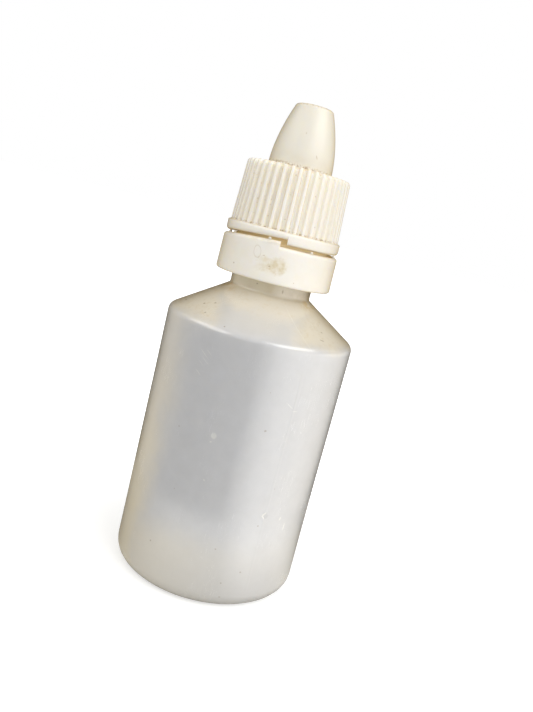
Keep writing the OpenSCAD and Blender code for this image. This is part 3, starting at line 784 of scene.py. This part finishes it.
# %% The bottle's finish
def milky_plastic():
    """The bottle's plastic: its aged colour with painted shade and light, wear and dirt, fine scratches that
    are rougher than the skin, and a coat that warms the very edge."""
    material, tree, shader, place = new_finish("milky polyethylene")
    flat = unroll(tree, place, body_r)
    mottle = grain(tree, place, 0.6, 5, 0.6)
    colour = wear_marks(tree, flat, aged_colour_with_painted_light(tree, place, mottle))
    tree.links.new(dirt_marks(tree, place, flat, colour), shader.inputs["Base Color"])
    lines = largest(tree, [hairlines(tree, place, (0.5, 0.2, 0)), hairlines(tree, place, (-0.9, 0.4, 0.3))])
    rough = calc(tree, "MULTIPLY_ADD", lines, 0.2, fade(tree, mottle, 0.3, 0.7, 0.14, 0.2))
    tree.links.new(rough, shader.inputs["Roughness"])
    shader.inputs["Specular IOR Level"].default_value = 1.0
    peel = calc(tree, "MULTIPLY_ADD", lines, -0.25, grain(tree, place, 1.3, 2))
    satin_skin(tree, shader, depth=1.8, radius=(1.0, 0.92, 0.8), weight=0.7, ior=1.51,
               coat_tint=(0.985, 0.975, 0.955), bumps=peel, bump_height=0.006)
    let_light_through(tree, 0.5, (1.0, 0.98, 0.94))
    return material


bottle.data.materials.append(milky_plastic())

# %% [markdown]
# ### Creamy white plastic
#
# The cap and the ring are opaque, moulded in a creamy white that has aged a little. Dirt settles where
# fingers don't wipe: in the grooves and where the skirt meets the flange and the cover. Painted shade lies
# with it in the grooves, more on the left, under the flange and on the ring's ramp, and a darker tone on the
# cover is painted shade too. The ageing itself is a film on the skin, a coat that takes a little yellow out
# of the light, and more where the skin is seen aslant.

# %% The creamy plastic
yellow_film = (0.95, 0.915, 0.845)


def creamy_plastic(name, colour, stains_and_shade, light_through=0.75):
    """The plastic that the cap and the ring share. stains_and_shade adds the dirt and painted shade of one
    part:
    it is called with the node tree, the place in millimetres and the colour so far, and gives the colour with
    them on it."""
    material, tree, shader, place = new_finish(name)
    mottle = grain(tree, place, 0.5, 5, 0.6)
    under_film = np.array(colour) / yellow_film
    under_shade = under_film * (0.985, 0.97, 0.94)
    tone = tint(tree, fade(tree, mottle, 0.35, 0.7), tuple(under_film), tuple(under_shade))
    tree.links.new(stains_and_shade(tree, place, tone), shader.inputs["Base Color"])
    tree.links.new(fade(tree, mottle, 0.3, 0.7, 0.3, 0.4), shader.inputs["Roughness"])
    satin_skin(tree, shader, depth=0.9, radius=(1.0, 0.9, 0.7), weight=0.8, ior=1.5, coat_tint=yellow_film,
               bumps=grain(tree, place, 2.0, 2), bump_height=0.004)
    let_light_through(tree, light_through, (1.0, 0.95, 0.84))
    return material


# %% Dirt and painted shade on the cap
dirt_and_shade_brown = (0.42, 0.29, 0.13)
cover_shaded_white = (0.82, 0.815, 0.785)


def cap_stains_and_shade(tree, place, tone):
    """A cover in a darker tone, painted shade, with two small marks; grime with painted shade in the grooves,
    more on the left; painted shade under the flange; a patchy darkening towards the cover's foot; and crumbs
    of dirt along the flange joint, round the cover's foot and on its top edge, with a painted dark edge line."""
    x, y, z = add(tree, "SeparateXYZ", {0: place}).outputs
    flat_place = add(tree, "CombineXYZ", {0: x, 1: y}).outputs[0]
    r = add(tree, "VectorMath", {0: flat_place}, operation="LENGTH").outputs["Value"]
    # Painted shade: the cover is a darker tone than the skirt, to hold down the light on its upturned sides.
    tone = tint(tree, fade(tree, z, skirt_top_z, skirt_top_z + 0.8), tone, cover_shaded_white)
    groove = add(tree, "Attribute", attribute_name="groove").outputs["Fac"]
    streaks = add(tree, "Mapping", {0: place, "Scale": (1, 1, 0.25)}, vector_type="POINT").outputs[0]
    patchy = grain(tree, streaks, 0.8, 4, 0.65)
    # Grime and painted shade in the grooves, stronger on the left, away from the key lamp.
    groove_grime_and_shade = times(tree, fade(tree, x, -4, 3, 1.1, 0.4), fade(tree, patchy, 0.3, 0.7, 0.04, 0.2), groove)
    grit = times(tree, groove, specks(tree, place, 2.2, 0.16, 0.35))
    crumbs = fade(tree, grain(tree, place, 4.0, 3, 0.7), 0.42, 0.62)
    joint = times(tree, fade(tree, apart(tree, z, flange_top_z + 0.05), 0.05, 0.3, 1, 0),
                  fade(tree, r, skirt_foot_r - 0.1, skirt_foot_r + 0.12, 1, 0))
    low_cover = times(tree, fade(tree, z, skirt_top_z + 2.6, skirt_top_z, 0, 0.14),
                      fade(tree, grain(tree, place, 0.35, 3), 0.35, 0.6),
                      calc(tree, "GREATER_THAN", z, skirt_top_z + 0.02))
    cover_foot = times(tree, fade(tree, z, skirt_top_z + 0.2, skirt_top_z + 0.7, 1, 0),
                       fade(tree, apart(tree, r, cover_r + 0.05), 0.1, 0.4, 1, 0))
    # Crumbs of dirt on the cover's top edge, with a painted dark line along that edge.
    top_edge_dirt_and_shade = times(tree, fade(tree, r, cover_top_r - 0.5, cover_top_r - 0.15),
                     fade(tree, apart(tree, z, top_z - 0.12), 0.02, 0.2, 0.55, 0))
    # Painted shade on the underside of the flange, stronger inwards from its rim, towards the gap over the
    # ring.
    under = times(tree, fade(tree, z, cap_z + 0.75, cap_z, 0, 0.5),
                  fade(tree, r, flange_r - 0.02, flange_r - 0.3, 0.15, 1))
    marks = spots(tree, unroll(tree, place, cover_r), cover_r, [
        (24, 61.9, 0.16, 0.5, 0.5), (-5, 64.6, 0.14, 0.2, 0)], edge=0.4)
    amount = largest(tree, [groove_grime_and_shade, low_cover, times(tree, grit, 0.6), times(tree, marks, 0.4),
                            times(tree, joint, crumbs, 0.75), times(tree, cover_foot, crumbs, 0.8),
                            times(tree, top_edge_dirt_and_shade, crumbs), under])
    return tint(tree, amount, tone, dirt_and_shade_brown)


cap.data.materials.append(creamy_plastic("creamy cap", (0.91, 0.89, 0.825), cap_stains_and_shade))

# %% Dirt and painted shade on the ring
blotch_yellow = (0.60, 0.47, 0.19)


def ring_stains_and_shade(tree, place, tone):
    """One yellow-brown blotch with a faint one beside it, an oval scuff, a few dots, and on the ramp grime
    with painted shade from the cap's flange above it."""
    z = add(tree, "SeparateXYZ", {0: place}).outputs[2]
    flat = unroll(tree, place, ring_r, waver=0.9)
    close = unroll(tree, place, ring_r, waver=0.12)
    patchy = fade(tree, grain(tree, place, 1.6, 5, 0.7), 0.3, 0.65, 0.25, 1)
    blotch = spots(tree, flat, ring_r, [(2.0, 47.0, 2.2, 2.2, 0), (-4.5, 46.8, 1.2, 0.9, 0)], edge=0.35)
    faint = spots(tree, flat, ring_r, [(-11.0, 46.6, 1.9, 1.1, 0.2), (-8.5, 47.4, 2.8, 0.7, -0.1)], edge=0.6)
    blotches = calc(tree, "MAXIMUM", times(tree, blotch, 0.5), times(tree, faint, 0.3))
    tone = tint(tree, times(tree, blotches, patchy), tone, blotch_yellow)
    scuff = spots(tree, close, ring_r, [(-19.9, 48.3, 1.0, 1.6, 0.25)], edge=0.5, rim=0.09)
    dots = spots(tree, close, ring_r, [(-5.7, 46.8, 0.25, 0.2, 0), (-42.2, 46.0, 0.25, 0.2, 0),
                                       (-13.0, 48.0, 0.3, 0.1, 0.3), (20.0, 45.4, 0.15, 0.12, 0)], edge=0.4)
    dust = specks(tree, place, 0.5, 0.16, 0.3)
    # Grime and painted shade on the ring's top and ramp, under the cap's flange.
    ramp = times(tree, fade(tree, z, ring_top_z - 0.1, ring_top_z + 0.35, 0, 0.25), patchy)
    amount = largest(tree, [times(tree, scuff, 0.2), times(tree, dots, 0.5), times(tree, dust, 0.5), ramp])
    return tint(tree, amount, tone, dirt_and_shade_brown)


ring.data.materials.append(creamy_plastic("creamy ring", (0.90, 0.87, 0.80), ring_stains_and_shade, light_through=0.62))

# %% The insert's finish
def insert_stains(tree, place, tone):
    """A trace of dried drops round the mouth of the nozzle."""
    z = add(tree, "SeparateXYZ", {0: place}).outputs[2]
    crust = times(tree, fade(tree, z, nozzle_top_z - 0.9, nozzle_top_z - 0.1, 0, 0.35),
                  fade(tree, grain(tree, place, 2.5, 4, 0.6), 0.45, 0.65))
    return tint(tree, crust, tone, (0.66, 0.56, 0.38))


insert.data.materials.append(creamy_plastic("natural insert", (0.82, 0.81, 0.77), insert_stains))

# %% [markdown]
# ## Floor and surroundings
#
# The bottle stands on a pale floor under a pale sky. Seen directly, both are white away from the bottle. Near
# it the floor's own glow sinks and its plain paper shows, so that the bottle keeps its shadow.

# %% The floor
def seen_directly(tree):
    """1 for the rays that see the background itself: those of the camera, and those that pass something
    clear."""
    paths = add(tree, "LightPath").outputs
    return largest(tree, [paths["Is Camera Ray"], paths["Is Transmission Ray"]])


def pale_floor():
    """Paper that also glows for the camera, from half as bright under the bottle to white 55 mm away."""
    material = bpy.data.materials.new("pale floor")
    material.use_nodes = True
    tree = material.node_tree
    tree.nodes.clear()
    place = add(tree, "TexCoord").outputs["Object"]
    away = add(tree, "VectorMath", {0: place}, operation="LENGTH").outputs["Value"]
    lift = times(tree, seen_directly(tree), fade(tree, away, 0.010, 0.055, 0.5, 1.0))
    glow = add(tree, "Emission", {"Color": (1, 1, 1, 1), "Strength": lift})
    paper = add(tree, "BsdfDiffuse", {"Color": (0.62, 0.62, 0.61, 1)})
    both = add(tree, "AddShader", {0: glow.outputs[0], 1: paper.outputs[0]})
    tree.links.new(both.outputs[0], add(tree, "OutputMaterial").inputs["Surface"])
    return material


def stage_mesh(name, points, material):
    """A grid of points in metres as a stage object: it isn't part of the bottle."""
    rows, columns = points.shape[:2]
    index = np.arange(rows * columns).reshape(rows, columns)
    faces = np.stack([index[:-1, :-1], index[:-1, 1:], index[1:, 1:], index[1:, :-1]], axis=-1).reshape(-1, 4)
    mesh = bpy.data.meshes.new(name)
    mesh.from_pydata(points.reshape(-1, 3), [], faces.tolist())
    mesh.materials.append(material)
    placed = bpy.data.objects.new(name, mesh)
    bpy.context.scene.collection.objects.link(placed)
    return placed


floor_size = 6.0
floor_drop = 0.03 * MM
floor_x, floor_y = np.meshgrid(*[np.linspace(-0.5, 0.5, 25) * floor_size] * 2)
stage_mesh("floor", np.stack([floor_x, floor_y, 0 * floor_x - floor_drop], axis=-1), pale_floor())

# %% The surrounding glow
world = bpy.data.worlds.new("studio")
world.use_nodes = True
bpy.context.scene.world = world
sky = world.node_tree
sky.nodes.clear()
strength = add(sky, "Mix", {0: seen_directly(sky), 2: 0.57, 3: 1.0}, data_type="FLOAT").outputs[0]
glow = add(sky, "Background", {"Color": (1, 1, 1, 1), "Strength": strength})
sky.links.new(glow.outputs[0], add(sky, "OutputWorld").inputs["Surface"])

# %% [markdown]
# ## What the bottle mirrors
#
# A satin wall shows its shape by what it mirrors. A photographer stands black and white cards round a pale
# product for this, or its edges melt into the white background. Here a band of card stands round the bottle,
# dark in front and behind and white at the right, with a tall black card above it at the back. A sheet lies
# round the bottle's foot, pale in front and dark behind. It ends the dark mirror image with the line that
# crosses the lower body. Only mirror rays meet the cards, so they give no light and no shadow.

# %% A band of card round the bottle
def card_material(name, stops, strength, near=1.0):
    """Glows with the colour that its place round the bottle picks from a ramp. stops are angles from the
    front and colours, with 1 as bright as strength. Towards the bottle the glow sinks to near, a share of its
    strength."""
    material = bpy.data.materials.new(name)
    material.use_nodes = True
    tree = material.node_tree
    tree.nodes.clear()
    place = add(tree, "TexCoord").outputs["Object"]
    x, y = add(tree, "SeparateXYZ", {0: place}).outputs[:2]
    turn = calc(tree, "ARCTAN2", x, times(tree, y, -1.0))
    ramp = add(tree, "ValToRGB", {0: calc(tree, "MULTIPLY_ADD", turn, 0.5 / math.pi, 0.5)})
    elements = ramp.color_ramp.elements
    elements.remove(elements[1])
    elements[0].color = (*stops[0][1], 1)
    for angle, colour in stops[1:]:
        elements.new(0.5 + angle / 360).color = (*colour, 1)
    away = add(tree, "VectorMath", {0: place}, operation="LENGTH").outputs["Value"]
    level = fade(tree, away, 0.014, 0.034, near * strength, strength)
    glow = add(tree, "Emission", {"Color": ramp.outputs[0], "Strength": level})
    tree.links.new(glow.outputs[0], add(tree, "OutputMaterial").inputs["Surface"])
    return material


def band_of_card(name, low_edge, high_edge, first, last, material):
    """A strip round the axis from angle first to angle last, between two edges that are each a radius and a
    height in millimetres. Only mirror rays see it."""
    turn, r = np.meshgrid(np.radians(np.linspace(first, last, 49)), [low_edge[0], high_edge[0]])
    z = np.array([[low_edge[1]], [high_edge[1]]]) + 0 * turn
    card = stage_mesh(name, np.stack([r * np.sin(turn), -r * np.cos(turn), z], axis=-1) * MM, material)
    for kind in ("camera", "diffuse", "transmission", "volume_scatter", "shadow"):
        setattr(card, "visible_" + kind, False)


card_r, card_top_z, flag_top_z = 39.5, 45, 110
brown, slate = (0.012, 0.010, 0.007), (0.010, 0.011, 0.015)
mirrored = [(-180, brown), (-128, brown), (-103, (0.18, 0.168, 0.15)), (-70, (0.09, 0.09, 0.09)),
            (-50, slate), (4, slate), (19, (0.38, 0.38, 0.38)), (38, (0.70, 0.69, 0.68)),
            (75, (0.72, 0.70, 0.67)), (103, (0.38, 0.365, 0.345)), (130, brown), (180, brown)]
band_of_card("mirrored_band", (card_r, 0.8), (card_r, card_top_z), -180, 180,
             card_material("mirrored band", mirrored, 4.0))
dim, grey, pale_grey = (0.06, 0.055, 0.048), (0.13, 0.125, 0.115), (0.40, 0.40, 0.39)
lying = [(-180, dim), (-115, dim), (-75, grey), (-35, pale_grey), (15, pale_grey), (38, (0.85, 0.84, 0.83)),
         (75, (0.74, 0.72, 0.69)), (100, (0.35, 0.34, 0.32)), (122, dim), (180, dim)]
band_of_card("lying_sheet", (14.5, 0.1), (card_r + 6, 0.1), -180, 180,
             card_material("lying sheet", lying, 4.0, near=0.38))
band_of_card("black_flag", (card_r, card_top_z), (card_r, flag_top_z), 112, 248,
             card_material("black card", [(-180, brown)], 1.0))

# %% [markdown]
# ## Lamps and camera
#
# Two soft lamps: the key high on the right, the fill lower on the left. The two bright arcs along the
# shoulder are their mirror images, so the places of the arcs say where the lamps stand. The camera looks down
# a little from close by and is rolled, so the bottle leans in the picture.

# %% The lamps
middle = Vector((0, 0, 0.038))


def soft_lamp(name, angle, rise, away, wide, tall, radiance):
    """A rectangle of light away metres from the bottle, at an angle round it and a rise above it in degrees,
    facing it. Its power is radiance * pi * its area."""
    light = bpy.data.lights.new(name, "AREA")
    light.shape = "RECTANGLE"
    light.size, light.size_y = wide, tall
    light.energy = radiance * math.pi * wide * tall
    a, e = math.radians(angle), math.radians(rise)
    towards = Vector((math.sin(a) * math.cos(e), -math.cos(a) * math.cos(e), math.sin(e)))
    lamp = bpy.data.objects.new(name, light)
    turn = towards.to_track_quat("Z", "Y").to_matrix().to_4x4()
    lamp.matrix_world = Matrix.Translation(middle + towards * away) @ turn
    bpy.context.scene.collection.objects.link(lamp)


soft_lamp("key", angle=52, rise=40, away=0.40, wide=0.37, tall=0.22, radiance=4.3)
soft_lamp("fill", angle=-68, rise=34, away=0.40, wide=0.40, tall=0.19, radiance=2.1)

# %% The camera
# Its place, lens and turns are fitted to the bottle's outline
cam_place = (0, -97.70 * MM, 52.92 * MM)
cam_yaw, cam_pitch, cam_roll = 0.0192, 0.1960, math.radians(14.2537)
ahead = np.array([math.sin(cam_yaw) * math.cos(cam_pitch), math.cos(cam_yaw) * math.cos(cam_pitch),
                  -math.sin(cam_pitch)])
level = np.array([math.cos(cam_yaw), -math.sin(cam_yaw), 0])
down = np.cross(ahead, level)
right = math.cos(cam_roll) * level - math.sin(cam_roll) * down
up = -(math.sin(cam_roll) * level + math.cos(cam_roll) * down)
camera = bpy.data.objects.new("camera", bpy.data.cameras.new("camera"))
camera.matrix_world = Matrix([[right[k], up[k], -ahead[k], cam_place[k]] for k in range(3)] + [[0, 0, 0, 1]])
camera.data.lens = 34.48
camera.data.sensor_width = 36
camera.data.clip_start = 0.005
bpy.context.scene.collection.objects.link(camera)
bpy.context.scene.camera = camera
bpy.context.scene.view_settings.view_transform = "Standard"
